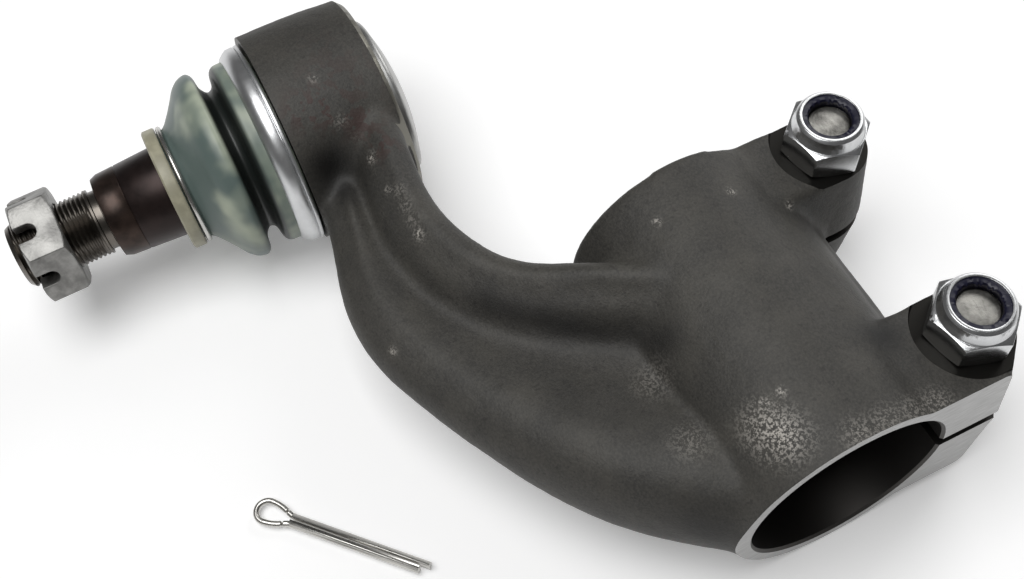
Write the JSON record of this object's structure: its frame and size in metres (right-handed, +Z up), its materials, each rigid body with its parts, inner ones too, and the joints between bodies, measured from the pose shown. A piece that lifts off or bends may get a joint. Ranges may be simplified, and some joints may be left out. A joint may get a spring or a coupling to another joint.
{
  "type": "ball joint",
  "caption": "Steering ball joint: forged arm with a round ball housing and rubber boot at one end and a split two-bolt clamp tube at the other, with a tapered stud and slotted nut",
  "frame": {"origin": "middle of the clamp bore, on its axis", "axes": "+X along the bore to its open mouth, +Y from the bore to the clamp jaws, +Z up from the surface that the joint rests on; the ball stud points along -Y"},
  "size_m": [0.2219, 0.242, 0.073],
  "materials": {
    "forged_steel": "forged skin, dark",
    "dark_steel": "turned, browned",
    "phosphated_steel": "phosphated, matte",
    "bearing_plastic": "moulded",
    "spring_steel": "hardened",
    "zinc_steel": "zinc plated",
    "seal_rubber": "smooth",
    "boot_rubber": "satin",
    "lip_plastic": "moulded",
    "blue_nylon": "moulded",
    "bright_steel": "drawn"
  },
  "bodies": {
    "root": {"forged_body": "forged_steel", "end_cover": "zinc_steel", "cover_seal_ring": "seal_rubber", "cover_snap_ring": "spring_steel", "disc_spring": "spring_steel", "spring_seat": "spring_steel", "boot_band": "zinc_steel", "clamp_bolt_front": "zinc_steel", "clamp_bolt_rear": "zinc_steel", "lock_nut_front": "zinc_steel", "lock_nut_rear": "zinc_steel", "nut_insert_front": "blue_nylon", "nut_insert_rear": "blue_nylon"},
    "bearing": {"front_bearing_shell": "bearing_plastic", "rear_bearing_shell": "bearing_plastic", "boot": "boot_rubber"},
    "collar": {"boot_lip_ring": "lip_plastic", "boot_wire_ring": "spring_steel"},
    "stud": {"ball_stud": "dark_steel", "castle_nut": "phosphated_steel"},
    "loose_pin": {"split_pin": "bright_steel"}
  },
  "joints": [
    {"name": "bearing_turn", "type": "hinge", "parent": "root", "child": "bearing", "pos_m": [-0.1386, -0.074, 0], "axis": [0, -1, 0], "continuous": true},
    {"name": "stud_tilt", "type": "hinge", "parent": "bearing", "child": "collar", "pos_m": [-0.1386, -0.074, 0], "axis": [0, 0, 1], "range_deg": [-15, 15], "deforming": ["boot"]},
    {"name": "stud_spin", "type": "hinge", "parent": "collar", "child": "stud", "pos_m": [-0.1386, -0.074, 0], "axis": [0, -1, 0], "continuous": true},
    {"name": "pin_lift", "type": "slide", "parent": "root", "child": "loose_pin", "axis": [0, 0, 1], "range_m": [0, 0.05]}
  ]
}
